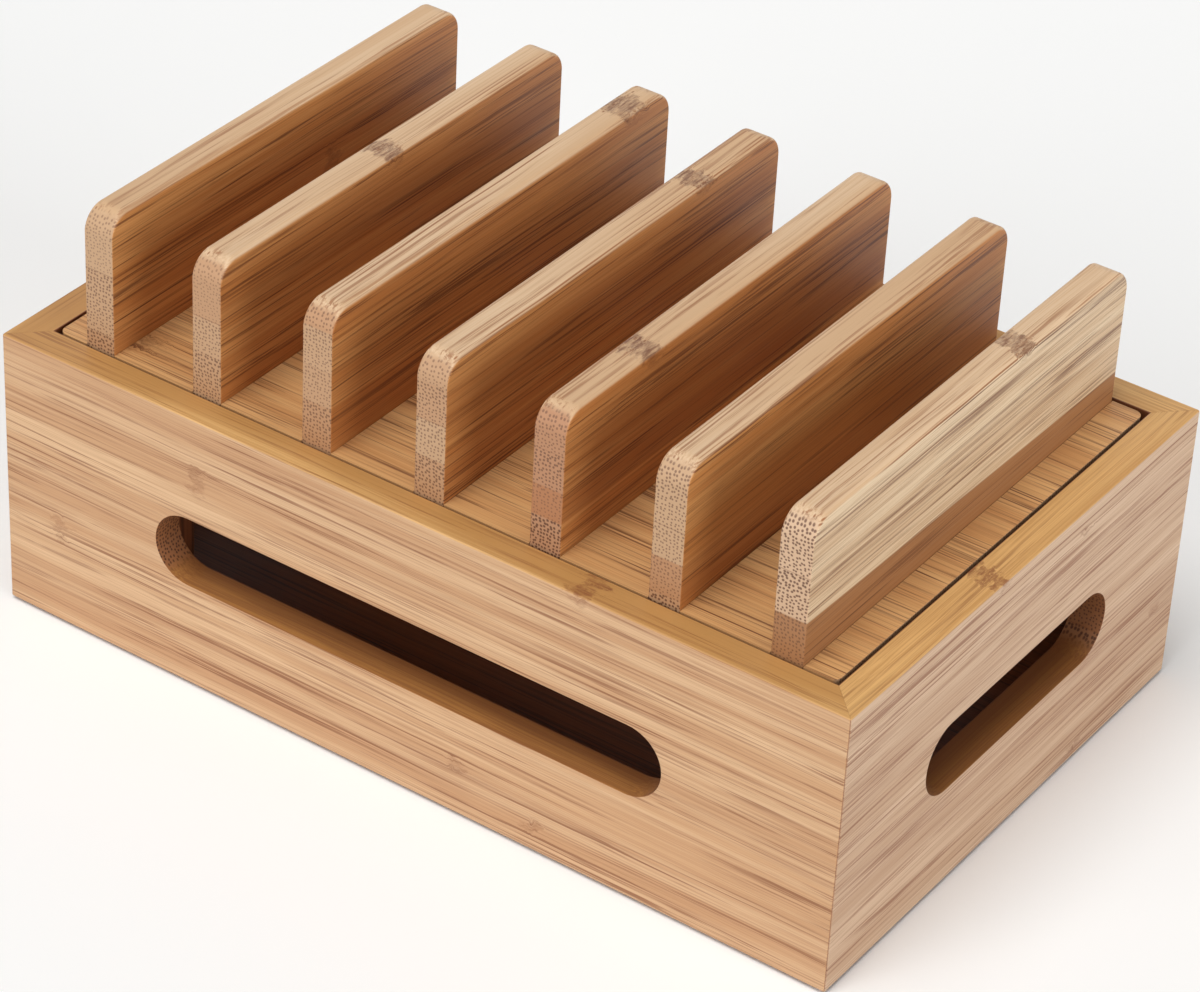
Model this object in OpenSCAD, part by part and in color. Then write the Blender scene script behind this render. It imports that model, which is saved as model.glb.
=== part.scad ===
// Charging station organizer: a mitred bamboo box with cable slots, and a lift-off lid
// that carries a row of upright dividers. X runs left to right, Y from front to rear.
// The origin is under the middle of the box, on the surface that it stands on.

/* [Box] */
// Length of the box, left to right
box_w = 312; // [290:1:400]
// Depth of the box, front to rear
box_d = 200; // [160:1:260]
// Height of the four boards
box_h = 100; // [80:1:140]
// Thickness of the four boards
wall_t = 11.5; // [9:0.5:15]
// Round-over on the outer edges of the boards
edge_r = 1.2; // [0.5:0.1:2.5]

/* [Cable slots in the boards] */
// Height of each slot, which is also twice the radius of its ends
slot_h = 25; // [15:1:35]
// Length of the slots in the front and rear boards
long_slot_l = 190; // [120:1:200]
// Length of the slots in the left and right boards
short_slot_l = 104; // [60:1:110]

/* [Floor] */
// Thickness of the floor panel
floor_t = 5; // [3:0.5:8]
// Height of the floor panel's underside above the boards' lower edges
floor_lift = 6; // [4:0.5:10]
// Depth of the groove that holds the floor panel
groove_depth = 5; // [3:0.5:7]

/* [Lid] */
// Thickness of the lid panel
lid_t = 9; // [7:0.5:12]
// Gap between the lid panel and each board
lid_gap = 1.1; // [0.6:0.1:2]
// How far the lid panel lies forward of the middle of its opening
lid_forward = 0.4; // [0:0.1:0.5]
// Radius of the lid panel's corners
lid_corner_r = 2.8; // [1:0.2:6]

/* [Cable holes in the lid] */
// Length of the cable hole in each bay, front to rear
cable_hole_l = 40; // [20:1:60]
// Width of the cable hole in each bay
cable_hole_w = 14; // [8:1:18]
// Distance from the lid panel's rear edge to the cable holes
cable_hole_inset = 20; // [12:1:30]

/* [Dividers] */
// Number of dividers
divider_count = 7; // [2:1:7]
// Thickness of each divider
divider_t = 11; // [8:0.5:13]
// Height of the dividers above the lid panel
divider_rise = 49; // [35:1:90]
// Radius of the dividers' upper corners
divider_corner_r = 8; // [3:0.5:16]
// Round-over on the dividers' long upper edges
divider_edge_r = 1; // [0.5:0.1:2.5]
// Width of the lid panel left bare outside each end divider
end_strip = 11.3; // [6:0.1:20]
// Depth of the shallow trench in the lid panel that each divider stands in
trench_depth = 3; // [2:0.5:4]

/* [Lid posts] */
// Thickness of the square posts that carry the lid
post_w = 12; // [8:1:16]
// Distance from the end of the long slot to the post beside it
post_offset = 4; // [2:1:8]

/* [Screws] */
// Diameter of the screws' shanks
screw_d = 3.5; // [3:0.5:4]
// Diameter of the screws' countersunk heads
screw_head_d = 7; // [6:0.5:8]
// Length of the screws
screw_l = 28; // [20:1:32]
// Distance from each end of a divider to its nearer screw
screw_inset = 30; // [15:1:50]

/* [Feet] */
// Diameter of the anti-slip pads
foot_d = 8.5; // [6:0.5:9]
// Thickness of the anti-slip pads
foot_t = 1; // [1:0.5:3]

/* [Clearances] */
// Play of the floor panel in its groove, and of a divider between its trench's sides
joint_play = 0.1; // [0.05:0.05:0.3]
// Play round a screw's shank and head
screw_play = 0.05; // [0.02:0.01:0.1]

/* [Hidden] */
$fn = 64;
eps = 0.01;

// Heights above the surface that the box stands on
board_z = foot_t;
rim_z = board_z + box_h;
slot_z = board_z + box_h / 2;
floor_z = board_z + floor_lift;
floor_top_z = floor_z + floor_t;
lid_z = rim_z - lid_t;
trench_z = rim_z - trench_depth;

// Inside of the box and the lid that drops into it
room_w = box_w - 2 * wall_t;
room_d = box_d - 2 * wall_t;
lid_w = room_w - 2 * lid_gap;
lid_d = room_d - 2 * lid_gap;
lid_y = -lid_forward;
groove_w = room_w + 2 * groove_depth;
groove_d = room_d + 2 * groove_depth;

// Row of dividers: their pitch shares out what the end strips leave of the lid
divider_pitch = (lid_w - 2 * end_strip - divider_t) / (divider_count - 1);
function divider_x(i) = (i - (divider_count + 1) / 2) * divider_pitch;
screw_y = [lid_y - lid_d / 2 + screw_inset, lid_y + lid_d / 2 - screw_inset];
cable_hole_y = lid_y + lid_d / 2 - cable_hole_inset - cable_hole_l / 2;

// Posts: middle of the front left one, counted from the middle of the box
post_x = long_slot_l / 2 + post_offset + post_w / 2;
post_y = room_d / 2 - post_w / 2;

// Screw head: a full-width rim, then a cone of equal height and width down to the shank
screw_rim_h = 0.4;
screw_cone_h = (screw_head_d - screw_d) / 2;
screw_tip_h = screw_d;
recess_w = screw_head_d / 8;
recess_l = screw_head_d / 2;
recess_depth = screw_cone_h - screw_rim_h;

bamboo = "burlywood";
bamboo_warm = "tan";
bamboo_pale = "navajowhite";
steel = "silver";
rubber = "dimgray";

// A rectangle about the origin with its four corners rounded
module rounded_rectangle(w, d, r) {
    square([w - 2 * r, d], center = true);
    square([w, d - 2 * r], center = true);
    for (x = [-1, 1], y = [-1, 1])
        translate([x * (w / 2 - r), y * (d / 2 - r)])
            circle(r);
}

// An obround about the origin, with its length along X
module obround(l, h) {
    square([l - h, h], center = true);
    for (x = [-1, 1])
        translate([x * (l - h) / 2, 0])
            circle(h / 2);
}

// A block the size of the whole box with all its outer edges rounded over
module rounded_block(w, d) {
    intersection() {
        linear_extrude(box_h) rounded_rectangle(w, d, edge_r);
        translate([0, d / 2, box_h / 2])
            rotate([90, 0, 0])
                linear_extrude(d) rounded_rectangle(w, box_h, edge_r);
        translate([-w / 2, 0, box_h / 2])
            rotate([90, 0, 90])
                linear_extrude(w) rounded_rectangle(d, box_h, edge_r);
    }
}

// The board on the front side of a box of the given length and depth: both ends mitred,
// one obround slot through it and the floor panel's groove in its inner face
module mitred_board(l, d, slot_l) {
    translate([0, 0, board_z])
        difference() {
            intersection() {
                rounded_block(l, d);
                linear_extrude(box_h)
                    polygon([
                        [-l / 2, -d / 2],
                        [l / 2, -d / 2],
                        [l / 2 - wall_t, -d / 2 + wall_t],
                        [-l / 2 + wall_t, -d / 2 + wall_t]
                    ]);
            }
            translate([0, -d / 2 + wall_t + eps, slot_z - board_z])
                rotate([90, 0, 0])
                    linear_extrude(wall_t + 2 * eps) obround(slot_l, slot_h);
            translate([0, 0, floor_lift + floor_t / 2])
                cube([
                    l - 2 * (wall_t - groove_depth),
                    d - 2 * (wall_t - groove_depth),
                    floor_t
                ], center = true);
        }
}

module front_board() {
    color(bamboo) mitred_board(box_w, box_d, long_slot_l);
}

module rear_board() {
    color(bamboo) rotate([0, 0, 180]) mitred_board(box_w, box_d, long_slot_l);
}

module left_board() {
    color(bamboo) rotate([0, 0, -90]) mitred_board(box_d, box_w, short_slot_l);
}

module right_board() {
    color(bamboo) rotate([0, 0, 90]) mitred_board(box_d, box_w, short_slot_l);
}

module floor_panel() {
    color(bamboo_warm)
        translate([0, 0, floor_z + floor_t / 2])
            cube([groove_w - 2 * joint_play, groove_d - 2 * joint_play, floor_t], center = true);
}

// A square post against the inner face of the front or rear board, from the floor
// panel up to the lid panel; side_x and side_y are -1 or 1
module post(side_x, side_y) {
    color(bamboo_warm)
        translate([side_x * post_x - post_w / 2, side_y * post_y - post_w / 2, floor_top_z])
            cube([post_w, post_w, lid_z - floor_top_z]);
}

// Where a screw's middle stands in the lid, for each divider and each of its two screws
module at_screws(i) {
    for (y = screw_y)
        translate([divider_x(i), y, lid_z])
            children();
}

// Room for a screw: a countersink and a hole up past its point
module screw_room() {
    cylinder(h = screw_rim_h, r = screw_head_d / 2 + screw_play);
    translate([0, 0, screw_rim_h])
        cylinder(h = screw_cone_h, r1 = screw_head_d / 2 + screw_play, r2 = screw_d / 2 + screw_play);
    cylinder(h = screw_l + joint_play, r = screw_d / 2 + screw_play);
}

// The flat panel that drops into the box: trenches for the dividers, an obround cable
// hole at the rear of each bay, and countersunk screw holes from below
module lid_panel() {
    color(bamboo)
        difference() {
            translate([0, lid_y, lid_z])
                linear_extrude(lid_t) rounded_rectangle(lid_w, lid_d, lid_corner_r);
            for (i = [1 : divider_count]) {
                translate([divider_x(i), lid_y, trench_z + lid_t / 2])
                    cube([divider_t + 2 * joint_play, lid_d + 2 * eps, lid_t], center = true);
                at_screws(i) screw_room();
            }
            for (i = [1 : divider_count - 1])
                translate([divider_x(i) + divider_pitch / 2, cable_hole_y, lid_z - eps])
                    rotate([0, 0, 90])
                        linear_extrude(lid_t + 2 * eps) obround(cable_hole_l, cable_hole_w);
        }
}

// Side view of a divider, its foot at the bottom of the trench
module divider_profile(h) {
    translate([-lid_d / 2, 0])
        square([lid_d, h - divider_corner_r]);
    translate([-lid_d / 2 + divider_corner_r, 0])
        square([lid_d - 2 * divider_corner_r, h]);
    for (y = [-1, 1])
        translate([y * (lid_d / 2 - divider_corner_r), h - divider_corner_r])
            circle(divider_corner_r);
}

// End view of a divider, with its two upper edges rounded over
module divider_end(h) {
    translate([-divider_t / 2, 0])
        square([divider_t, h - divider_edge_r]);
    translate([-divider_t / 2 + divider_edge_r, 0])
        square([divider_t - 2 * divider_edge_r, h]);
    for (x = [-1, 1])
        translate([x * (divider_t / 2 - divider_edge_r), h - divider_edge_r])
            circle(divider_edge_r);
}

// One upright divider, counted from the left
module divider(i) {
    h = divider_rise + trench_depth;
    color(bamboo_pale)
        difference() {
            translate([divider_x(i), lid_y, trench_z])
                intersection() {
                    translate([-divider_t / 2, 0, 0])
                        rotate([90, 0, 90])
                            linear_extrude(divider_t) divider_profile(h);
                    translate([0, lid_d / 2, 0])
                        rotate([90, 0, 0])
                            linear_extrude(lid_d) divider_end(h);
                }
            at_screws(i) screw_room();
        }
}

// A countersunk wood screw, head down at the origin, with a cross recess in its head
module screw() {
    difference() {
        rotate_extrude()
            polygon([
                [0, 0],
                [screw_head_d / 2, 0],
                [screw_head_d / 2, screw_rim_h],
                [screw_d / 2, screw_rim_h + screw_cone_h],
                [screw_d / 2, screw_l - screw_tip_h],
                [0, screw_l]
            ]);
        for (a = [0, 90])
            rotate([0, 0, a])
                cube([recess_l, recess_w, 2 * recess_depth], center = true);
    }
}

module divider_screws() {
    color(steel)
        for (i = [1 : divider_count])
            at_screws(i) screw();
}

// An anti-slip pad under a mitred corner; side_x and side_y are -1 or 1
module foot(side_x, side_y) {
    color(rubber)
        translate([side_x * (box_w - wall_t) / 2, side_y * (box_d - wall_t) / 2, 0])
            cylinder(h = foot_t, d = foot_d);
}

front_board();
rear_board();
left_board();
right_board();
floor_panel();
lid_panel();
for (i = [1 : divider_count])
    divider(i);
post(-1, -1);  // post_front_left
post(1, -1);  // post_front_right
post(-1, 1);  // post_rear_left
post(1, 1);  // post_rear_right
foot(-1, -1);  // foot_front_left
foot(1, -1);  // foot_front_right
foot(-1, 1);  // foot_rear_left
foot(1, 1);  // foot_rear_right
divider_screws();
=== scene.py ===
"""Charging station organizer: the looks of a mitred bamboo box with a lid of upright dividers.

Every size is in metres unless its name or comment says otherwise. X runs left to right along
the box, Y from its front to its rear, and Z up from the surface that it stands on.
"""

import math

import bmesh
import bpy
from mathutils import Matrix, Vector


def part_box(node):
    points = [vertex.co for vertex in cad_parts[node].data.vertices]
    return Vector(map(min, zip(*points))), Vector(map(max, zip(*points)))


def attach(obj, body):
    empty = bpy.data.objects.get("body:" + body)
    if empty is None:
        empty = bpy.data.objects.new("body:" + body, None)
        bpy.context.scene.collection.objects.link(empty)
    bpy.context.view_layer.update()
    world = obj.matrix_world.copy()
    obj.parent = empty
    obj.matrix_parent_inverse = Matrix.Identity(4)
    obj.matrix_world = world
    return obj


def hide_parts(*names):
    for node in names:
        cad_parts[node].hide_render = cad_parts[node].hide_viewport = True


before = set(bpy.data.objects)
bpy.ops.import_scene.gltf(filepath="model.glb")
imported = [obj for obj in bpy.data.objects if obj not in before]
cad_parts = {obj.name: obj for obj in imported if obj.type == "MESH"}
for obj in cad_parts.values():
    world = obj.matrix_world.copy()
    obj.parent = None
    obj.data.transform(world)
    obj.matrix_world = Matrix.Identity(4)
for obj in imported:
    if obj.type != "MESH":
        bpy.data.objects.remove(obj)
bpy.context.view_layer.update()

MM = 0.001

# Boards of the box
BOARD_EDGE = 0.7 * MM
RIM_EDGE = 0.3 * MM
MITRE_GAP = 0.03 * MM
GROOVE_DEPTH = 5 * MM
SLOT_H = 25 * MM
LONG_SLOT_L = 190 * MM
SHORT_SLOT_L = 104 * MM
SLOT_EDGE = 0.3 * MM
SLOT_STEPS = 24

# Lid and dividers
LID_CORNER_R = 2.8 * MM
LID_EDGE = 0.3 * MM
CABLE_HOLE_L = 40 * MM
CABLE_HOLE_W = 14 * MM
CABLE_HOLE_INSET = 20 * MM
DIVIDER_COUNT = 7
DIVIDER_CORNER_R = 8 * MM
DIVIDER_TOP_EDGE = 2 * MM
DIVIDER_SIDE_EDGE = 0.5 * MM
TRENCH_PLAY = 0.1 * MM
SCREW_D = 3.5 * MM
SCREW_HEAD_D = 7 * MM
SCREW_L = 28 * MM
SCREW_RIM_H = 0.4 * MM
SCREW_PLAY = 0.05 * MM
SCREW_INSET = 30 * MM
PAST = 1 * MM

# Smaller pieces
BATTEN_EDGE = 0.4 * MM
FOOT_EDGE = 0.4 * MM

# Steps in a quarter turn of the finest edges, of a small edge and of a corner, and round a
# whole circle
FINE_STEPS = 2
EDGE_STEPS = 4
LID_CORNER_STEPS = 10
CORNER_STEPS = 20
CIRCLE_STEPS = 48

# Bevels: strips across a bevel of the lid and of a batten, and the shape of a round one
LID_BEVEL_STRIPS = 2
BATTEN_BEVEL_STRIPS = 3
ROUND_PROFILE = 0.5

# Points closer than this are one, and points this close to a height are at it
TINY = 1e-7
AT_HEIGHT = 1e-6

# Upward part of a face's normal: below the first it stands upright, above the second it lies
UPRIGHT = 0.1
LEVEL = 0.9

# Edges sharper than this, in degrees, stay sharp, and large faces set the normals
SHARP_ANGLE = 35
FACE_WEIGHT = 100


def span(node):
    """Size of a CAD node's box along X, Y and Z."""
    low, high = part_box(node)
    return high - low


box_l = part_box("right_board")[1].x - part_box("left_board")[0].x
box_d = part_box("rear_board")[1].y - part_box("front_board")[0].y
board_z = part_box("front_board")[0].z
rim_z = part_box("front_board")[1].z
wall_t = span("front_board").y
groove_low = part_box("floor_panel")[0].z
groove_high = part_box("floor_panel")[1].z
slot_z = (board_z + rim_z) / 2
lid_low, lid_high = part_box("lid_panel")
lid_l = lid_high.x - lid_low.x
lid_d = lid_high.y - lid_low.y
lid_y = (lid_low.y + lid_high.y) / 2
trench_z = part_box("divider_1")[0].z
divider_t = span("divider_1").x
divider_h = span("divider_1").z


def divider_x(i):
    """Middle of the divider with that number, counted from the left."""
    low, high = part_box(f"divider_{i}")
    return (low.x + high.x) / 2


# Mesh helpers


def quarter(steps, start=0):
    """Angles over a quarter turn, in radians, from `start` degrees."""
    return [math.radians(start + 90 * i / steps) for i in range(steps + 1)]


def obround(length, height, steps):
    """Outline of an obround about the origin, its length along the first coordinate."""
    r, half = height / 2, (length - height) / 2
    right = [math.radians(-90 + 180 * i / steps) for i in range(steps + 1)]
    points = [(half + r * math.cos(a), r * math.sin(a)) for a in right]
    return points + [(-x, -y) for x, y in points]


def rounded_rectangle(width, depth, r, steps):
    """Outline of a rectangle about the origin with round corners."""
    points = []
    for turn, (sx, sy) in enumerate(((1, 1), (-1, 1), (-1, -1), (1, -1))):
        centre = (sx * (width / 2 - r), sy * (depth / 2 - r))
        for a in quarter(steps, 90 * turn):
            points.append((centre[0] + r * math.cos(a), centre[1] + r * math.sin(a)))
    return points


def ring_of(bm, points):
    """New vertices at the points, in order."""
    return [bm.verts.new(p) for p in points]


def skin(bm, rings):
    """Quads between each closed ring of vertices and the next."""
    count = len(rings[0])
    for low, high in zip(rings, rings[1:]):
        for i in range(count):
            j = (i + 1) % count
            bm.faces.new((low[i], low[j], high[j], high[i]))


def loop_edges(bm, ring):
    """The edges round a closed ring of vertices, made where they are missing."""
    pairs = zip(ring, ring[1:] + ring[:1])
    return [bm.edges.get(p) or bm.edges.new(p) for p in pairs]


def fill_between(bm, outer, hole):
    """Flat faces over an outline with a hole in it."""
    edges = loop_edges(bm, outer) + loop_edges(bm, hole)
    bmesh.ops.triangle_fill(bm, edges=edges, use_beauty=True, use_dissolve=False)


def weld(bm):
    """Joins points that fall together and turns all faces outward."""
    bmesh.ops.remove_doubles(bm, verts=bm.verts, dist=TINY)
    bmesh.ops.dissolve_degenerate(bm, edges=bm.edges, dist=TINY)
    bmesh.ops.recalc_face_normals(bm, faces=bm.faces)


def object_from(bm, name):
    """A scene object that holds the finished mesh."""
    mesh = bpy.data.meshes.new(name)
    bm.to_mesh(mesh)
    bm.free()
    made = bpy.data.objects.new(name, mesh)
    bpy.context.scene.collection.objects.link(made)
    return made


def apply_modifiers(piece):
    """Bakes the piece's modifiers into its mesh."""
    graph = bpy.context.evaluated_depsgraph_get()
    mesh = bpy.data.meshes.new_from_object(piece.evaluated_get(graph))
    piece.modifiers.clear()
    piece.data = mesh


def cut_away(piece, cutter):
    """Takes the cutter's solid out of the piece."""
    step = piece.modifiers.new("cut", "BOOLEAN")
    step.operation = "DIFFERENCE"
    step.solver = "EXACT"
    step.object = cutter
    apply_modifiers(piece)
    bpy.data.objects.remove(cutter)


def flatten_normals(piece):
    """Smooth shading over small round edges, and none over the flat faces."""
    piece.data.shade_smooth()
    piece.data.set_sharp_from_angle(angle=math.radians(SHARP_ANGLE))
    step = piece.modifiers.new("weighted normals", "WEIGHTED_NORMAL")
    step.keep_sharp = True
    step.weight = FACE_WEIGHT


def finish_piece(piece, node, body, material):
    """Gives a piece its material and says what it stands for."""
    flatten_normals(piece)
    piece.data.materials.clear()
    piece.data.materials.append(material)
    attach(piece, body)
    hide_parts(node)


# Boards: a section swept along the front side of the box, mitred at both ends


def board_section():
    """The board's section, as distance in from the outer face and height."""
    r, c = BOARD_EDGE, RIM_EDGE
    foot = [(r - r * math.sin(a), board_z + r - r * math.cos(a)) for a in quarter(EDGE_STEPS)]
    head = [(r - r * math.cos(a), rim_z - r + r * math.sin(a)) for a in quarter(EDGE_STEPS)]
    rim = [
        (wall_t - c + c * math.sin(a), rim_z - c + c * math.cos(a)) for a in quarter(FINE_STEPS)
    ]
    groove_in = wall_t - GROOVE_DEPTH
    groove = [
        (wall_t, groove_high),
        (groove_in, groove_high),
        (groove_in, groove_low),
        (wall_t, groove_low),
    ]
    under = [
        (wall_t - c + c * math.cos(a), board_z + c - c * math.sin(a)) for a in quarter(FINE_STEPS)
    ]
    return foot + head + rim + groove + under


def board_run(length, depth, inset, height):
    """One line along the board at that inset and height, from mitre to mitre."""
    r = max(BOARD_EDGE - inset, 0)
    x, y = length / 2 - max(inset, BOARD_EDGE), -depth / 2 + max(inset, BOARD_EDGE)
    turns = [math.radians(-45 * i / EDGE_STEPS) for i in range(EDGE_STEPS + 1)]
    right = [(x - r * math.sin(a) - MITRE_GAP, y - r * math.cos(a), height) for a in turns]
    left = [(-p[0], p[1], p[2]) for p in reversed(right)]
    return left + right


def board_mesh(length, depth, slot_l):
    """A whole board as a closed mesh, with its outer face towards -Y. `outer` and `inner` are
    the points of the section after which those faces come; the slot runs from one to the
    other."""
    bm = bmesh.new()
    section = board_section()
    runs = [ring_of(bm, board_run(length, depth, *point)) for point in section]
    outer = EDGE_STEPS
    inner = section.index((wall_t, groove_high)) - 1
    middle = EDGE_STEPS
    for k, (low, high) in enumerate(zip(runs, runs[1:] + runs[:1])):
        for i in range(len(low) - 1):
            if i == middle and k in (outer, inner):
                continue
            bm.faces.new((low[i], low[i + 1], high[i + 1], high[i]))
    bm.faces.new([run[0] for run in runs])
    bm.faces.new([run[-1] for run in runs])
    wall = slot_walls(bm, -depth / 2, slot_l)
    for k, hole in ((outer, wall[0]), (inner, wall[-1])):
        low, high = runs[k], runs[k + 1]
        corners = [low[middle], low[middle + 1], high[middle + 1], high[middle]]
        fill_between(bm, corners, hole)
    weld(bm)
    return bm


def slot_walls(bm, face_y, slot_l):
    """The inside of an obround slot through the board, with small rounded rims."""
    c = SLOT_EDGE
    near = [(c - c * math.sin(a), c - c * math.cos(a)) for a in quarter(FINE_STEPS)]
    far = [(grown, wall_t - deep) for grown, deep in reversed(near)]
    rings = []
    for grown, deep in near + far:
        outline = obround(slot_l + 2 * grown, SLOT_H + 2 * grown, SLOT_STEPS)
        points = [(x, face_y + deep, slot_z + z) for x, z in outline]
        rings.append(ring_of(bm, points))
    skin(bm, rings)
    return rings


def make_board(node, length, depth, slot_l, turn, material):
    """A board of the box, turned round the box's middle by that many degrees."""
    bm = board_mesh(length, depth, slot_l)
    bmesh.ops.rotate(bm, verts=bm.verts, matrix=Matrix.Rotation(math.radians(turn), 3, "Z"))
    piece = object_from(bm, f"{node}_wood")
    finish_piece(piece, node, "box", material)


# Lid and dividers


def prism(name, outline, low, high):
    """A closed upright prism over an outline in X and Y."""
    bm = bmesh.new()
    rings = [ring_of(bm, [(x, y, z) for x, y in outline]) for z in (low, high)]
    skin(bm, rings)
    for ring in rings:
        bm.faces.new(ring)
    weld(bm)
    return object_from(bm, name)


def turned(name, profile, centre):
    """A closed solid turned round an upright axis; the profile is radius and height."""
    bm = bmesh.new()
    turns = [2 * math.pi * i / CIRCLE_STEPS for i in range(CIRCLE_STEPS)]
    rings = []
    for r, z in profile:
        points = [(centre.x + r * math.cos(a), centre.y + r * math.sin(a), z) for a in turns]
        rings.append(ring_of(bm, points))
    skin(bm, rings)
    bm.faces.new(rings[0])
    bm.faces.new(rings[-1])
    weld(bm)
    return object_from(bm, name)


def screw_room(i, y):
    """The space of one screw, from under the lid up into its divider."""
    hole = SCREW_D / 2 + SCREW_PLAY
    head = SCREW_HEAD_D / 2 + SCREW_PLAY
    cone_z = lid_low.z + SCREW_RIM_H
    profile = [
        (head, lid_low.z - PAST),
        (head, cone_z),
        (hole, cone_z + head - hole),
        (hole, lid_low.z + SCREW_L + TRENCH_PLAY),
    ]
    return turned("screw_room", profile, Vector((divider_x(i), y, 0)))


def joined(parts):
    """One object that holds the meshes of all the parts, which don't overlap."""
    bm = bmesh.new()
    for part in parts:
        bm.from_mesh(part.data)
        bpy.data.objects.remove(part)
    return object_from(bm, "cutter")


SCREW_Y = (lid_low.y + SCREW_INSET, lid_high.y - SCREW_INSET)


def lid_trenches():
    """The trenches that the dividers stand in."""
    half, reach = divider_t / 2 + TRENCH_PLAY, lid_d / 2 + PAST
    parts = []
    for i in range(1, DIVIDER_COUNT + 1):
        x = divider_x(i)
        outline = [
            (x - half, lid_y - reach),
            (x + half, lid_y - reach),
            (x + half, lid_y + reach),
            (x - half, lid_y + reach),
        ]
        parts.append(prism("trench", outline, trench_z, lid_high.z + PAST))
    return joined(parts)


def lid_holes():
    """The cable hole in each bay and the room for every screw."""
    parts = [screw_room(i, y) for i in range(1, DIVIDER_COUNT + 1) for y in SCREW_Y]
    hole_y = lid_high.y - CABLE_HOLE_INSET - CABLE_HOLE_L / 2
    for i in range(1, DIVIDER_COUNT):
        x = (divider_x(i) + divider_x(i + 1)) / 2
        outline = [(x + a, hole_y + b) for b, a in obround(CABLE_HOLE_L, CABLE_HOLE_W, SLOT_STEPS)]
        parts.append(prism("cable_hole", outline, lid_low.z - PAST, lid_high.z + PAST))
    return joined(parts)


def soften_lid_edges(piece):
    """Rounds the lid's upper and lower edges, its strips' and its cable holes' too."""
    bm = bmesh.new()
    bm.from_mesh(piece.data)
    soft = [e for e in bm.edges if is_outline(e, lid_high.z) or is_outline(e, lid_low.z)]
    bmesh.ops.bevel(
        bm,
        geom=soft,
        offset=LID_EDGE,
        segments=LID_BEVEL_STRIPS,
        profile=ROUND_PROFILE,
        affect="EDGES",
        clamp_overlap=True,
    )
    weld(bm)
    bm.to_mesh(piece.data)
    bm.free()


def is_outline(edge, height):
    """True for an edge at that height where a level face meets an upright one."""
    if any(abs(v.co.z - height) > AT_HEIGHT for v in edge.verts):
        return False
    ups = sorted(abs(f.normal.z) for f in edge.link_faces)
    return len(ups) == 2 and ups[0] < UPRIGHT and ups[1] > LEVEL


def make_lid(material):
    """The lid panel with its trenches, cable holes and screw holes."""
    outline = rounded_rectangle(lid_l, lid_d, LID_CORNER_R, LID_CORNER_STEPS)
    outline = [(x, y + lid_y) for x, y in outline]
    piece = prism("lid_panel_wood", outline, lid_low.z, lid_high.z)
    cut_away(piece, lid_trenches())
    cut_away(piece, lid_holes())
    soften_lid_edges(piece)
    finish_piece(piece, "lid_panel", "lid", material)


def divider_outline():
    """Side view of a divider as points, outward directions and edge radii along it."""
    r, half, top = DIVIDER_CORNER_R, lid_d / 2, trench_z + divider_h
    points = [((half, trench_z), (1, 0), 0), ((half, lid_high.z), (1, 0), DIVIDER_SIDE_EDGE)]
    for a in quarter(CORNER_STEPS):
        out = (math.cos(a), math.sin(a))
        share = a / (math.pi / 2)
        edge = DIVIDER_SIDE_EDGE + (DIVIDER_TOP_EDGE - DIVIDER_SIDE_EDGE) * share
        points.append(((half - r + r * out[0], top - r + r * out[1]), out, edge))
    mirrored = [((-p[0], p[1]), (-n[0], n[1]), e) for p, n, e in reversed(points)]
    return points + mirrored


def divider_ring(bm, outline, x, side, angle):
    """One ring round a divider where its edges have turned by that angle."""
    points = []
    for (y, z), (ny, nz), edge in outline:
        inset = edge * (1 - math.cos(angle))
        width = divider_t / 2 - edge * (1 - math.sin(angle))
        points.append((x + side * width, lid_y + y - ny * inset, z - nz * inset))
    return ring_of(bm, points)


def make_divider(i, material):
    """An upright divider: round upper corners, soft edges and two screw holes below."""
    bm = bmesh.new()
    outline = divider_outline()
    x = divider_x(i)
    turns = quarter(EDGE_STEPS)
    rings = [divider_ring(bm, outline, x, -1, a) for a in reversed(turns)]
    rings += [divider_ring(bm, outline, x, 1, a) for a in turns]
    skin(bm, rings)
    bm.faces.new(rings[0])
    bm.faces.new(rings[-1])
    weld(bm)
    piece = object_from(bm, f"divider_{i}_wood")
    cut_away(piece, joined([screw_room(i, y) for y in SCREW_Y]))
    finish_piece(piece, f"divider_{i}", "lid", material)


# Floor panel, posts and feet


def make_batten(node, material):
    """A plain sawn piece the size of its CAD node, with its edges eased."""
    low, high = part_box(node)
    bm = bmesh.new()
    bmesh.ops.create_cube(bm, size=1)
    bmesh.ops.scale(bm, vec=high - low, verts=bm.verts)
    bmesh.ops.translate(bm, vec=(low + high) / 2, verts=bm.verts)
    bmesh.ops.bevel(
        bm,
        geom=bm.edges,
        offset=BATTEN_EDGE,
        segments=BATTEN_BEVEL_STRIPS,
        profile=ROUND_PROFILE,
        affect="EDGES",
    )
    weld(bm)
    piece = object_from(bm, f"{node}_wood")
    finish_piece(piece, node, "box", material)


def make_foot(node, material):
    """A round pad with a soft lower edge."""
    low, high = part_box(node)
    r = (high.x - low.x) / 2
    profile = [(r, high.z)]
    for a in quarter(EDGE_STEPS):
        profile.append((r - FOOT_EDGE * (1 - math.cos(a)), low.z + FOOT_EDGE * (1 - math.sin(a))))
    piece = turned(f"{node}_pad", profile, (low + high) / 2)
    finish_piece(piece, node, "box", material)


# Material helpers


def srgb(red, green, blue):
    """A colour given as 0 to 255 in sRGB, as the linear values that the nodes take."""
    linear = []
    for value in (red, green, blue):
        share = value / 255
        linear.append(share / 12.92 if share <= 0.04045 else ((share + 0.055) / 1.055) ** 2.4)
    return (*linear, 1)


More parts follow.
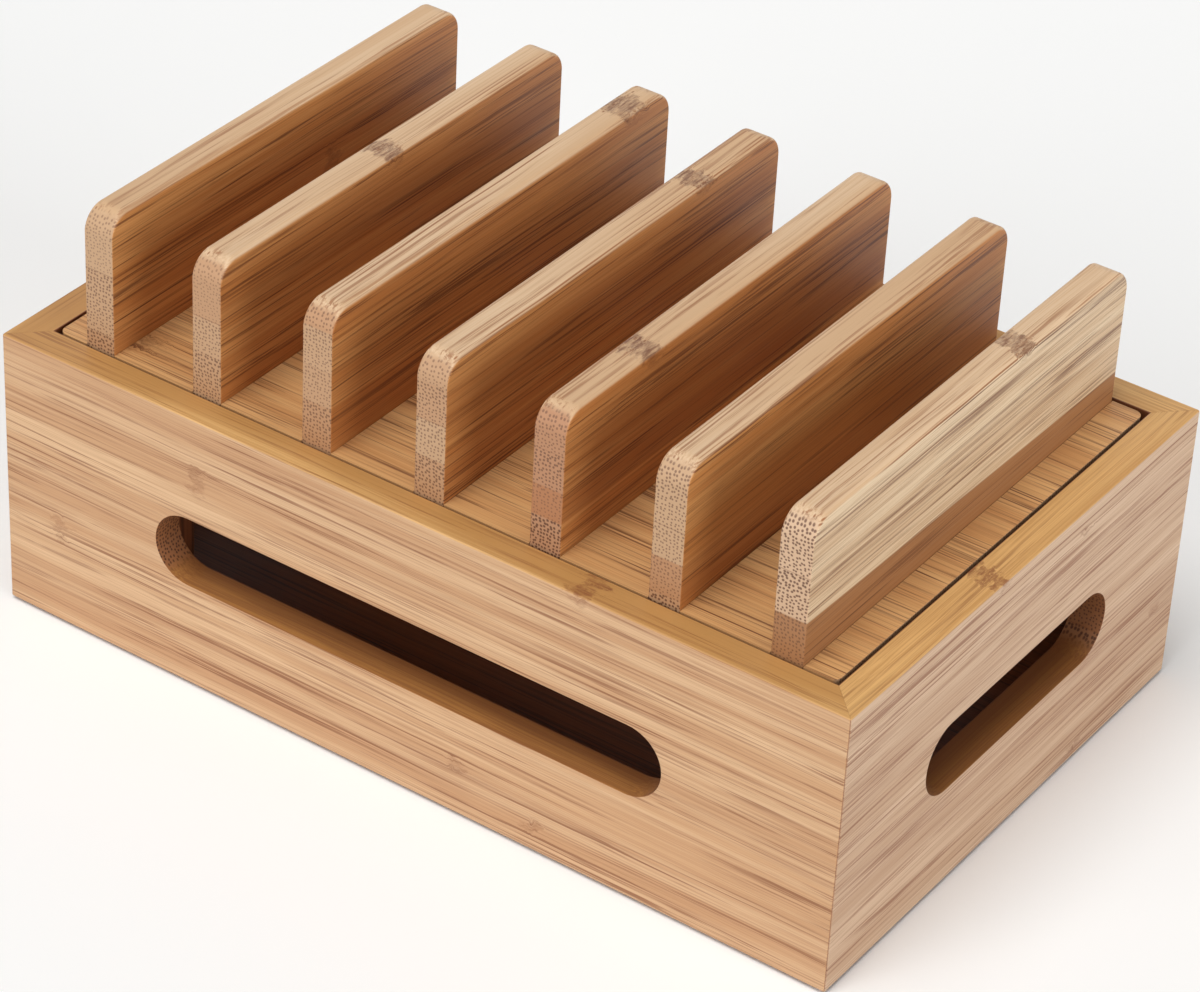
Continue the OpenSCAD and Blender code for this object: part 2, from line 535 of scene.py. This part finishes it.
class Nodes:
    """Adds nodes to one material. A socket or a plain value may feed any input."""

    MIX_FACTOR, MIX_A, MIX_B, MIX_RESULT = 0, 6, 7, 2

    def __init__(self, name):
        self.material = bpy.data.materials.new(name)
        self.material.use_nodes = True
        self.tree = self.material.node_tree
        self.shader = self.tree.nodes["Principled BSDF"]

    def feed(self, socket, value):
        if isinstance(value, bpy.types.NodeSocket):
            self.tree.links.new(value, socket)
        else:
            socket.default_value = value

    def add(self, kind, inputs, **settings):
        made = self.tree.nodes.new(kind)
        for key, value in settings.items():
            setattr(made, key, value)
        for key, value in inputs.items():
            self.feed(made.inputs[key], value)
        return made

    def math(self, operation, *values):
        return self.add("ShaderNodeMath", dict(enumerate(values)), operation=operation).outputs[0]

    def scaled(self, value, factor, offset=0.0):
        return self.math("MULTIPLY_ADD", value, factor, offset)

    def split(self, vector):
        return self.add("ShaderNodeSeparateXYZ", {0: vector}).outputs

    def join(self, x, y, z):
        return self.add("ShaderNodeCombineXYZ", {0: x, 1: y, 2: z}).outputs[0]

    def ramp(self, value, start, end, low, high):
        """Goes smoothly from low at start to high at end."""
        inputs = {0: value, 1: start, 2: end, 3: low, 4: high}
        made = self.add("ShaderNodeMapRange", inputs, interpolation_type="SMOOTHSTEP")
        return made.outputs[0]

    def mix(self, factor, a, b):
        inputs = {self.MIX_FACTOR: factor, self.MIX_A: a, self.MIX_B: b}
        made = self.add("ShaderNodeMix", inputs, data_type="RGBA")
        return made.outputs[self.MIX_RESULT]

    def noise(self, vector, detail, roughness=0.5, colour=False):
        inputs = {"Vector": vector, "Scale": 1.0, "Detail": detail, "Roughness": roughness}
        made = self.add("ShaderNodeTexNoise", inputs)
        return made.outputs["Color" if colour else 0]

    def cells(self, vector, randomness):
        inputs = {"Vector": vector, "Scale": 1.0, "Randomness": randomness}
        made = self.add("ShaderNodeTexVoronoi", inputs, voronoi_dimensions="2D")
        return made.outputs["Distance"], made.outputs["Color"]


# Bamboo: a function of place in each piece, so that streaks run on over its edges and end in
# pores on its cut ends. Places and lengths in the wood are in millimetres.

# Looks: the colours of the broad faces, of the narrow edges, of the slots' lips, of the inside
# of the box and of the cut ends, and how much of the dark streaks the edges show
# The boards' outer faces: paler than the golden wood, partly painted sheen
PALE = {
    "face": srgb(217, 179, 138),
    "shade": srgb(199, 155, 113),
    "deep": srgb(170, 121, 82),
    "line": srgb(130, 76, 40),
    "edge": srgb(216, 170, 108),
    "edge_shade": srgb(184, 135, 76),
    "edge_line": srgb(134, 82, 38),
    # Slot lips: darker than the rims, partly painted shade
    "lip": srgb(176, 120, 62),
    # Painted shade: the inside of the box, darker than the outer faces
    "inner": srgb(122, 70, 38),
    "inner_shade_line": srgb(78, 40, 20),
    "end": srgb(150, 96, 58),
    "pore": srgb(74, 38, 22),
    "edge_streaks": 0.8,
}
# The right board: cooler than PALE as painted light from the right, its lip darker as painted
# shade
COOL_LIT = dict(
    PALE,
    face=srgb(209, 177, 146),
    shade=srgb(195, 160, 128),
    deep=srgb(162, 122, 91),
    lip=srgb(162, 106, 52),
)
HONEY = {
    "face": srgb(210, 151, 89),
    "shade": srgb(196, 131, 70),
    "deep": srgb(164, 98, 47),
    "line": srgb(98, 49, 22),
    # Divider tops: paler than their sides, partly painted sheen
    "edge": srgb(218, 186, 150),
    "edge_shade": srgb(204, 166, 126),
    "edge_line": srgb(150, 98, 58),
    "lip": srgb(190, 140, 90),
    "inner": srgb(190, 140, 90),
    "end": srgb(190, 153, 117),
    "pore": srgb(92, 56, 36),
    "edge_streaks": 1.0,
}
WARM = dict(
    HONEY,
    face=srgb(220, 173, 116),
    shade=srgb(208, 156, 100),
    deep=srgb(180, 124, 70),
    edge=srgb(218, 172, 116),
    edge_shade=srgb(205, 154, 98),
    edge_line=srgb(134, 80, 40),
)
# The floor panel and posts inside the box: dark as painted shade
INSIDE_SHADE = dict(
    HONEY,
    face=srgb(136, 76, 40),
    shade=srgb(124, 67, 34),
    deep=srgb(104, 52, 25),
    line=srgb(72, 36, 16),
    edge=srgb(136, 76, 40),
    edge_shade=srgb(124, 67, 34),
    edge_line=srgb(80, 40, 18),
)
ROSY = dict(HONEY, end=srgb(178, 132, 98))
# Divider 7: paler and cooler than HONEY as painted light on its open right side
STRAW_LIT = dict(
    HONEY,
    face=srgb(224, 199, 164),
    shade=srgb(215, 187, 151),
    deep=srgb(150, 96, 48),
    line=srgb(108, 63, 34),
    end=srgb(204, 170, 138),
)


def layer(along, through, across, shift, detail, roughness):
    """A kind of noise: its length along the grain, how many times it changes in a millimetre
    through the piece and across the strips, its seed's shift, its detail and roughness."""
    return {
        "along": 1 / along,
        "through": through,
        "across": across,
        "shift": shift,
        "detail": detail,
        "roughness": roughness,
    }


DRIFT = layer(110, 1 / 30, 1 / 16, 0, 2, 0.5)
WOBBLE = layer(6, 1 / 3, 1 / 3, 0, 3, 0.6)
RIPPLE = layer(2.5, 1 / 6, 1 / 5, 0, 2, 0.5)
PATCH = layer(6, 0.9, 0.9, 0, 4, 0.6)
FIBRE = layer(90, 1.6, 2.6, 0, 4, 0.65)
HAIR = layer(110, 0.7, 1.0, 3, 4, 0.65)
STREAK = layer(120, 0.2, 0.3, 5, 3, 0.6)
CLUSTER = layer(170, 0.1, 0.22, 7, 2, 0.5)
BAND = layer(260, 1 / 20, 1 / 6, 9, 2, 0.5)

# How far the grain drifts, how far the knots' outlines wobble, and how far the grain bends
# in a knot, each from one extreme to the other
DRIFT_THROUGH = 3.4
DRIFT_ACROSS = 2.2
KNOT_WOBBLE = 18.0
KNOT_BEND = 7.0

# Ramps: where each starts and ends, and what it gives there. A level face is a slot's lip up
# to the start of RIM_HEIGHTS and a rim from its end.
BAND_TONE = (0.38, 0.62, 0.0, 1.0)
SIDE_FIBRES = (0.4, 0.7, 0.0, 0.55)
EDGE_FIBRES = (0.4, 0.68, 0.0, 0.8)
LIP_FIBRES = (0.38, 0.66, 0.0, 0.6)
INNER_FIBRES = (0.35, 0.7, 0.0, 0.5)
FINE_STREAKS = (0.49, 0.6, 0.0, 0.8)
BROAD_STREAKS = (0.42, 0.6, 0.15, 1.0)
CLUSTERED = (0.38, 0.6, 0.15, 1.0)
BUNDLE_CORE = (0.12, 0.32, 1.0, 0.0)
DARK_BUNDLES = (0.25, 0.9, 0.0, 1.0)
KNOT_SPREAD = (0.25, 1.0, 1.0, 0.0)
KNOT_CORE = (0.1, 0.9, 0.0, 1.0)
KNOT_PATCHES = (0.34, 0.66, 0.2, 0.85)
PORE_EDGE = (0.55, 1.15, 0.0, 1.0)
JOINT_LINE = (0.0, 0.025, 1.0, 0.0)
RIM_HEIGHTS = (100.0, 100.8, 0.0, 1.0)
LEVEL_FACES = (0.3, 0.65, 0.0, 1.0)
CUT_ENDS = (0.4, 0.75, 0.0, 1.0)

# Shares of the dark streaks, joints and knots that show on each kind of face
LIP_STREAKS = 0.7
INNER_STREAKS = 0.7
JOINT_ON_FACES = 0.5
JOINT_ON_ENDS = 0.6
KNOT_ON_SIDES = 0.5

# Painted shade in the slots: how dark a slot's lip grows at the inner face, over what depth,
# and how far out from that face the inside's painted-shade colour starts to fade and is gone
LIP_PAINTED_SHADE = 0.7
LIP_DEPTH = 10
INNER_FADE = (0.2, 0.5)

# Lightness of the cut ends: what a strip's tone adds, and the least
END_TONE_GAIN = 0.9
END_TONE_LEAST = 0.1

# Pores on the cut ends: their pitch in millimetres and how far they stray; as shares of the
# pitch their radius at a strip's lower side, what it gains towards the upper side and what
# strong pores gain; how dark they are at least, and what strong pores gain
PORE_PITCH = 1.25
PORE_SCATTER = 0.55
PORE_R_LEAST = 0.20
PORE_R_GAIN = 0.10
PORE_R_STRONG = 0.12
PORE_DARK_LEAST = 0.35
PORE_DARK_STRONG = 0.6

# Lacquer and relief of the wood; the relief's depth is in metres
WOOD_ROUGHNESS = 0.42
WOOD_ROUGHNESS_GAIN = 0.2
FIBRE_RELIEF = 0.5
RELIEF_STRENGTH = 0.35
RELIEF_DEPTH = 0.05 * MM

# Share of all strips' height in which one strip gives way to the next
STRIP_SEAM = 0.001


class Bamboo(Nodes):
    """Laminated bamboo for one piece. `axes` names the piece's axes along the grain, through
    its thickness and across its strips, and the strips start at `low`. `tilt` is how steeply
    their joints fall along the grain, and `inside` is how far from the box's middle the
    piece's inner face lies."""

    def __init__(self, name, axes, seed, look, low, strips, knots=(), tilt=0.0, inside=None):
        super().__init__(name)
        self.seed = seed
        self.look = look
        self.inside = inside
        coordinates = self.add("ShaderNodeTexCoord", {}).outputs
        place = self.split(coordinates["Object"])
        normal = self.split(coordinates["Normal"])
        order = ["XYZ".index(a) for a in axes]
        self.g, self.u, self.v = (self.scaled(place[k], 1 / MM) for k in order)
        self.facing = [self.math("ABSOLUTE", normal[k]) for k in order]
        self.level_part = self.ramp(self.facing[2], *LEVEL_FACES)
        self.lay_strips(low, strips, tilt)
        self.bend_grain(knots)
        self.grow_bundles()
        self.dress()

    def lay_strips(self, low, strips, tilt):
        """Tone, share of the way up and pore strength of the strip at each place. A strip is
        its top, its tone and its pore strength."""
        level = self.math("ADD", self.v, self.scaled(self.g, tilt)) if tilt else self.v
        whole = strips[-1][0] - low
        made = self.add("ShaderNodeValToRGB", {0: self.scaled(level, 1 / whole, -low / whole)})
        stops = []
        start = 0.0
        for top, tone, pores in strips:
            end = (top - low) / whole
            stops += [(start, (tone, 0, pores, 1)), (end - STRIP_SEAM, (tone, 1, pores, 1))]
            start = end
        elements = made.color_ramp.elements
        while len(elements) < len(stops):
            elements.new(0.5)
        for element, (position, colour) in zip(elements, stops):
            element.position = position
            element.color = colour
        split = self.add("ShaderNodeSeparateColor", {0: made.outputs[0]}).outputs
        self.tone, self.rise, self.pores = split
        self.joint = self.ramp(self.rise, *JOINT_LINE)

    def noisy(self, kind, u, v, colour=False):
        """Noise of that kind at places through the piece and across its strips."""
        place = self.join(
            self.scaled(self.g, kind["along"], self.seed + kind["shift"]),
            self.scaled(u, kind["through"]),
            self.scaled(v, kind["across"]),
        )
        return self.noise(place, kind["detail"], kind["roughness"], colour)

    def swayed(self, value, noise, reach):
        """The value moved either way by noise, over that reach in all."""
        return self.math("ADD", value, self.scaled(noise, reach, -reach / 2))

    def bend_grain(self, knots):
        """Lets the grain drift, and bend where there are knots."""
        drift = self.split(self.noisy(DRIFT, self.u, self.v, colour=True))
        self.grain_u = self.swayed(self.u, drift[0], DRIFT_THROUGH)
        self.grain_v = self.swayed(self.v, drift[1], DRIFT_ACROSS)
        self.knot = None
        if knots:
            self.knot = self.knot_field(knots)
            ripple = self.noisy(RIPPLE, self.u, self.v)
            bend = self.math("MULTIPLY", self.knot, self.scaled(ripple, KNOT_BEND, -KNOT_BEND / 2))
            self.grain_v = self.math("ADD", self.grain_v, bend)

    def knot_field(self, knots):
        """Goes to 1 in the middle of each knot; a knot is its place along the grain and
        across the strips, and its half length and half width."""
        g = self.swayed(self.g, self.noisy(WOBBLE, self.u, self.v), KNOT_WOBBLE)
        total = None
        for g0, v0, along, across in knots:
            near_g = self.scaled(g, 1 / along, -g0 / along)
            near_v = self.scaled(self.v, 1 / across, -v0 / across)
            offset = self.join(near_g, near_v, 0.0)
            far = self.add("ShaderNodeVectorMath", {0: offset}, operation="LENGTH")
            near = self.ramp(far.outputs["Value"], *KNOT_SPREAD)
            total = near if total is None else self.math("MAXIMUM", total, near)
        return total

    def grow_bundles(self):
        """The dark fibre bundles: streaks on the faces, pores on the cut ends."""
        across = [self.scaled(value, 1 / PORE_PITCH) for value in (self.grain_u, self.grain_v)]
        self.bundle, tint = self.cells(self.join(*across, 0.0), PORE_SCATTER)
        self.fibre = self.noisy(FIBRE, self.grain_u, self.grain_v)
        hair = self.noisy(HAIR, self.grain_u, self.grain_v)
        streak = self.noisy(STREAK, self.grain_u, self.grain_v)
        cluster = self.noisy(CLUSTER, self.u, self.grain_v)
        self.band = self.ramp(self.noisy(BAND, self.u, self.grain_v), *BAND_TONE)
        chosen = self.ramp(self.split(tint)[0], *DARK_BUNDLES)
        strong = self.math("MULTIPLY", self.ramp(self.bundle, *BUNDLE_CORE), chosen)
        strong = self.math("MULTIPLY", strong, self.ramp(cluster, *CLUSTERED))
        fine, broad = self.ramp(hair, *FINE_STREAKS), self.ramp(streak, *BROAD_STREAKS)
        streaks = self.math("MAXIMUM", strong, self.math("MULTIPLY", fine, broad))
        self.dark = self.math("MAXIMUM", streaks, self.scaled(self.joint, JOINT_ON_FACES))

    def side_colour(self):
        """The broad faces, where the strips lie side by side."""
        colour = self.mix(self.band, self.look["face"], self.look["shade"])
        colour = self.mix(self.tone, self.look["deep"], colour)
        colour = self.mix(self.ramp(self.fibre, *SIDE_FIBRES), colour, self.look["deep"])
        return self.mix(self.dark, colour, self.look["line"])

    def edge_colour(self):
        """The narrow faces: a board's rim, a divider's top, and the lips of the slots."""
        shade = self.look["edge_shade"]
        rim = self.mix(self.band, self.look["edge"], shade)
        rim = self.mix(self.ramp(self.fibre, *EDGE_FIBRES), rim, shade)
        streaks = self.scaled(self.dark, self.look["edge_streaks"])
        rim = self.mix(streaks, rim, self.look["edge_line"])
        return self.mix(self.ramp(self.v, *RIM_HEIGHTS), self.lip_colour(), rim)

    def lip_colour(self):
        """The lip of a slot, darker than a rim as partly painted shade, with painted shade that
        grows darker towards the inside of the box.
        """
        streaks = self.scaled(self.dark, LIP_STREAKS)
        streaks = self.math("MAXIMUM", streaks, self.ramp(self.fibre, *LIP_FIBRES))
        colour = self.mix(streaks, self.look["lip"], self.look["inner"])
        if self.inside is None:
            return colour
        depth = self.math("ABSOLUTE", self.u)
        inward_shade = self.ramp(depth, self.inside, self.inside + LIP_DEPTH, LIP_PAINTED_SHADE, 0.0)
        return self.mix(inward_shade, colour, self.look["inner"])

    def inner_shade_colour(self):
        """The board's face towards the inside of the box, darker as painted shade."""
        line = self.look["inner_shade_line"]
        colour = self.mix(self.ramp(self.fibre, *INNER_FIBRES), self.look["inner"], line)
        return self.mix(self.scaled(self.dark, INNER_STREAKS), colour, line)

    def knot_darkness(self):
        """How dark the knots are: patchy, and weaker on the broad faces."""
        patches = self.ramp(self.noisy(PATCH, self.u, self.v), *KNOT_PATCHES)
        shown = self.scaled(self.level_part, 1 - KNOT_ON_SIDES, KNOT_ON_SIDES)
        strength = self.math("MULTIPLY", self.ramp(self.knot, *KNOT_CORE), shown)
        return self.math("MULTIPLY", strength, patches)

    def long_colour(self):
        """All faces along the grain."""
        colour = self.mix(self.level_part, self.side_colour(), self.edge_colour())
        # Near the inside, the faces take the inside's painted shade
        if self.inside is not None:
            depth = self.math("ABSOLUTE", self.u)
            fade = [self.inside + distance for distance in INNER_FADE]
            outward = self.ramp(depth, *fade, 0.0, 1.0)
            colour = self.mix(outward, self.inner_shade_colour(), colour)
        if self.knot is not None:
            colour = self.mix(self.knot_darkness(), colour, self.look["line"])
        return colour

    def pore_depth(self):
        """Goes to its highest in the middle of each pore."""
        radius = self.scaled(self.rise, PORE_R_GAIN, PORE_R_LEAST)
        radius = self.math("ADD", radius, self.scaled(self.pores, PORE_R_STRONG))
        wall = self.ramp(self.math("DIVIDE", self.bundle, radius), *PORE_EDGE)
        darkness = self.scaled(self.pores, PORE_DARK_STRONG, PORE_DARK_LEAST)
        return self.math("MULTIPLY", self.math("SUBTRACT", 1.0, wall), darkness)

    def end_colour(self, depth):
        """The cut ends: dark pores in plainer wood."""
        tone = self.scaled(self.tone, END_TONE_GAIN, END_TONE_LEAST)
        colour = self.mix(tone, self.look["deep"], self.look["end"])
        colour = self.mix(self.scaled(self.joint, JOINT_ON_ENDS), colour, self.look["line"])
        return self.mix(depth, colour, self.look["pore"])

    def dress(self):
        """Feeds colour, roughness and fine relief to the shader."""
        depth = self.pore_depth()
        end_part = self.ramp(self.facing[0], *CUT_ENDS)
        colour = self.mix(end_part, self.long_colour(), self.end_colour(depth))
        hollow = self.math("MAXIMUM", self.dark, depth)
        height = self.math("SUBTRACT", self.scaled(self.fibre, FIBRE_RELIEF), hollow)
        relief = {"Strength": RELIEF_STRENGTH, "Distance": RELIEF_DEPTH, "Height": height}
        roughness = self.scaled(self.fibre, WOOD_ROUGHNESS_GAIN, WOOD_ROUGHNESS)
        self.feed(self.shader.inputs["Base Color"], colour)
        self.feed(self.shader.inputs["Roughness"], roughness)
        self.feed(self.shader.inputs["Normal"], self.add("ShaderNodeBump", relief).outputs[0])


def mottled(name, dark, light, per_metre, detail, roughness, gain):
    """A material with soft mottling between two close colours; the light parts are rougher
    by the gain."""
    n = Nodes(name)
    place = n.add("ShaderNodeTexCoord", {}).outputs["Object"]
    fine = n.add("ShaderNodeVectorMath", {0: place, 3: per_metre}, operation="SCALE")
    cloud = n.noise(fine.outputs[0], detail)
    n.feed(n.shader.inputs["Base Color"], n.mix(cloud, dark, light))
    n.feed(n.shader.inputs["Roughness"], n.scaled(cloud, gain, roughness))
    return n


def zinc_steel():
    """Bright zinc plating on the screws, a little cloudy."""
    dark, light = srgb(196, 194, 186), srgb(214, 213, 208)
    n = mottled("zinc_steel", dark, light, per_metre=900.0, detail=3, roughness=0.22, gain=0.25)
    n.feed(n.shader.inputs["Metallic"], 1.0)
    return n.material


def rubber():
    """Matt dark rubber of the feet."""
    dark, light = srgb(44, 43, 41), srgb(62, 60, 58)
    n = mottled("matt_rubber", dark, light, per_metre=2500.0, detail=2, roughness=0.7, gain=0.2)
    return n.material


# The whole object. A strip is its top, its tone and its pore strength, and a knot is its
# place along the grain, its place across the strips, its half length and its half width.

BOARD_LOW = 1.0
BOARD_STRIPS = [(21, 0.8, 0.7), (41, 1.0, 0.6), (60, 0.85, 0.9), (81, 1.0, 0.5), (102, 0.9, 0.8)]
SIDE_STRIPS = [(24, 0.9, 0.6), (44, 0.75, 0.9), (63, 1.0, 0.6), (84, 0.85, 0.8), (102, 1.0, 0.6)]
FRONT_KNOTS = [(-79, 79, 5, 9), (-134, 37, 5, 7), (22, 19, 7, 4), (51, 10, 4, 5), (63, 101, 6, 6)]
RIGHT_KNOTS = [(32, 93, 5, 3), (42, 5, 7, 3), (87, 32, 6, 3), (-17, 101, 5, 5)]
LID_LOW = -90.0
LID_STRIPS = [
    (-69, 0.8, 0.6),
    (-48, 1.0, 0.6),
    (-27, 0.85, 0.6),
    (-6, 1.0, 0.6),
    (15, 0.8, 0.6),
    (36, 0.95, 0.6),
    (57, 0.8, 0.6),
    (90, 1.0, 0.6),
]
LID_KNOTS = [(-118, -76, 6, 9), (-62, -52, 7, 8), (96, -20, 6, 9), (20, 40, 6, 9)]
INNER_LOW = -95.0
DIVIDER_LOW = 97.0

# Each divider's look, strips, knots and tilt, from left to right
DIVIDERS = [
    (HONEY, [(107, 0.7, 0.8), (129, 0.9, 0.6), (151, 1.0, 0.3)], [(20, 122, 6, 9)], 0.0),
    (HONEY, [(116.5, 0.8, 0.7), (129, 0.9, 0.5), (151, 0.7, 0.2)], [(-2, 150, 7, 8)], 0.0),
    (
        HONEY,
        [(116.5, 0.6, 0.6), (129, 0.8, 0.4), (143, 0.9, 0.5), (151, 0.6, 0.5)],
        [(68, 150, 9, 7)],
        0.0,
    ),
    (
        HONEY,
        [(115, 0.7, 0.7), (128, 1.0, 0.5), (141, 0.7, 0.6), (151, 0.8, 0.4)],
        [(45, 150, 7, 6)],
        0.0,
    ),
    (
        ROSY,
        [(112.4, 1.0, 1.0), (123, 0.4, 0.3), (135.5, 0.8, 0.7), (151, 0.8, 0.5)],
        [(-44, 150, 7, 8)],
        0.0,
    ),
    (HONEY, [(104, 0.7, 0.9), (116.5, 0.5, 0.4), (127.5, 1.0, 0.5), (151, 1.0, 0.6)], [], 0.0),
    (STRAW_LIT, [(113.7, 0.1, 0.5), (128.6, 0.95, 0.9), (151, 1.0, 0.9)], [(27, 150, 7, 5)], 0.025),
]

# Seeds: the first divider's, and the step from each to the next
DIVIDER_SEED = 87.0
DIVIDER_SEED_STEP = 7


def board_wood(name, axes, seed, look, strips, knots):
    """The bamboo of a board, whose grain runs along X or Y."""
    half = box_d / 2 if axes == "XYZ" else box_l / 2
    inside = (half - wall_t) / MM
    return Bamboo(name, axes, seed, look, BOARD_LOW, strips, knots, inside=inside).material


def make_box():
    """The boards, the floor panel, the posts and the feet."""
    front = board_wood("bamboo_front", "XYZ", 3.0, PALE, BOARD_STRIPS, FRONT_KNOTS)
    rear = board_wood("bamboo_rear", "XYZ", 17.0, PALE, SIDE_STRIPS, FRONT_KNOTS[:2])
    left = board_wood("bamboo_left", "YXZ", 29.0, PALE, BOARD_STRIPS, RIGHT_KNOTS[:2])
    right = board_wood("bamboo_right", "YXZ", 41.0, COOL_LIT, SIDE_STRIPS, RIGHT_KNOTS)
    inner = Bamboo("bamboo_inner", "XZY", 53.0, INSIDE_SHADE, INNER_LOW, LID_STRIPS).material
    upright = Bamboo("bamboo_upright_shaded", "ZXY", 61.0, INSIDE_SHADE, INNER_LOW, LID_STRIPS).material
    make_board("front_board", box_l, box_d, LONG_SLOT_L, 0, front)
    make_board("rear_board", box_l, box_d, LONG_SLOT_L, 180, rear)
    make_board("left_board", box_d, box_l, SHORT_SLOT_L, -90, left)
    make_board("right_board", box_d, box_l, SHORT_SLOT_L, 90, right)
    make_batten("floor_panel", inner)
    pad = rubber()
    for end in ("front", "rear"):
        for side in ("left", "right"):
            make_batten(f"post_{end}_{side}", upright)
            make_foot(f"foot_{end}_{side}", pad)


def make_lid_group():
    """The lid panel, the dividers on it and the looks of their screws."""
    make_lid(Bamboo("bamboo_lid", "XZY", 71.0, WARM, LID_LOW, LID_STRIPS, LID_KNOTS).material)
    for i, (look, strips, knots, tilt) in enumerate(DIVIDERS, start=1):
        name = f"bamboo_divider_{i}"
        seed = DIVIDER_SEED + DIVIDER_SEED_STEP * (i - 1)
        wood = Bamboo(name, "YXZ", seed, look, DIVIDER_LOW, strips, knots, tilt)
        make_divider(i, wood.material)
    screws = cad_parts["divider_screws"]
    screws.data.materials.clear()
    screws.data.materials.append(zinc_steel())


# Studio: a pale floor, soft lamps and the camera

FLOOR_HALF = 4.0
FLOOR_WHITE = srgb(251, 251, 250)
FLOOR_ROUGHNESS = 0.9
CAMERA_PLACE = Vector((0.63339, -0.95431, 0.84716))
CAMERA_AZIMUTH = 33.470
CAMERA_ELEVATION = 34.689
CAMERA_ROLL = -3.190
CAMERA_LENS = 132.869
SENSOR_W = 36.0
LAMP_SPREAD = 40
LAMPS = [("lamp_top", -12, 72, 0.51), ("lamp_front", -12, 24, 0.35), ("lamp_right", 82, 12, 0.49)]
WHITE = (1, 1, 1, 1)
SKY_STRENGTH = 0.25


def make_floor():
    """A plain floor of pale paper."""
    bm = bmesh.new()
    corners = [(-1, -1), (1, -1), (1, 1), (-1, 1)]
    bm.faces.new(ring_of(bm, [(FLOOR_HALF * x, FLOOR_HALF * y, 0) for x, y in corners]))
    floor = object_from(bm, "floor")
    n = Nodes("floor_paper")
    n.feed(n.shader.inputs["Base Color"], FLOOR_WHITE)
    n.feed(n.shader.inputs["Roughness"], FLOOR_ROUGHNESS)
    n.feed(n.shader.inputs["Specular IOR Level"], 0.0)
    floor.data.materials.append(n.material)


def looking(azimuth, elevation):
    """Direction from the object towards a viewer at that azimuth and elevation."""
    a, e = math.radians(azimuth), math.radians(elevation)
    return Vector((math.sin(a) * math.cos(e), -math.cos(a) * math.cos(e), math.sin(e)))


def make_lamp(name, azimuth, elevation, strength):
    """A wide soft light from far off; at strength 1 it lights a surface that faces it fully."""
    lamp = bpy.data.lights.new(name, "SUN")
    lamp.angle = math.radians(LAMP_SPREAD)
    lamp.energy = strength * math.pi
    made = bpy.data.objects.new(name, lamp)
    made.rotation_mode = "QUATERNION"
    made.rotation_quaternion = looking(azimuth, elevation).to_track_quat("Z", "Y")
    bpy.context.scene.collection.objects.link(made)


def either(tree, a, b):
    """1 where one of the two is 1."""
    made = tree.nodes.new("ShaderNodeMath")
    made.operation = "MAXIMUM"
    tree.links.new(a, made.inputs[0])
    tree.links.new(b, made.inputs[1])
    return made.outputs[0]


def make_world():
    """Soft light from all round; the camera, reflections and clear things see it white."""
    world = bpy.data.worlds.new("studio")
    bpy.context.scene.world = world
    world.use_nodes = True
    tree = world.node_tree
    soft = tree.nodes["Background"]
    soft.inputs["Color"].default_value = WHITE
    soft.inputs["Strength"].default_value = SKY_STRENGTH
    white = tree.nodes.new("ShaderNodeBackground")
    white.inputs["Color"].default_value = WHITE
    path = tree.nodes.new("ShaderNodeLightPath").outputs
    mirrored = either(tree, path["Is Glossy Ray"], path["Is Transmission Ray"])
    direct = either(tree, path["Is Camera Ray"], mirrored)
    seen = tree.nodes.new("ShaderNodeMixShader")
    tree.links.new(direct, seen.inputs[0])
    tree.links.new(soft.outputs[0], seen.inputs[1])
    tree.links.new(white.outputs[0], seen.inputs[2])
    tree.links.new(seen.outputs[0], tree.nodes["World Output"].inputs[0])


def make_camera():
    """The camera of the photograph."""
    data = bpy.data.cameras.new("camera")
    data.sensor_width = SENSOR_W
    data.lens = CAMERA_LENS
    camera = bpy.data.objects.new("camera", data)
    camera.location = CAMERA_PLACE
    camera.rotation_mode = "QUATERNION"
    level = looking(CAMERA_AZIMUTH, CAMERA_ELEVATION).to_track_quat("Z", "Y")
    roll = Matrix.Rotation(math.radians(-CAMERA_ROLL), 3, "Z").to_quaternion()
    camera.rotation_quaternion = level @ roll
    bpy.context.scene.collection.objects.link(camera)
    bpy.context.scene.camera = camera


make_box()
make_lid_group()
make_floor()
for lamp in LAMPS:
    make_lamp(*lamp)
make_world()
make_camera()
bpy.context.scene.view_settings.view_transform = "Standard"
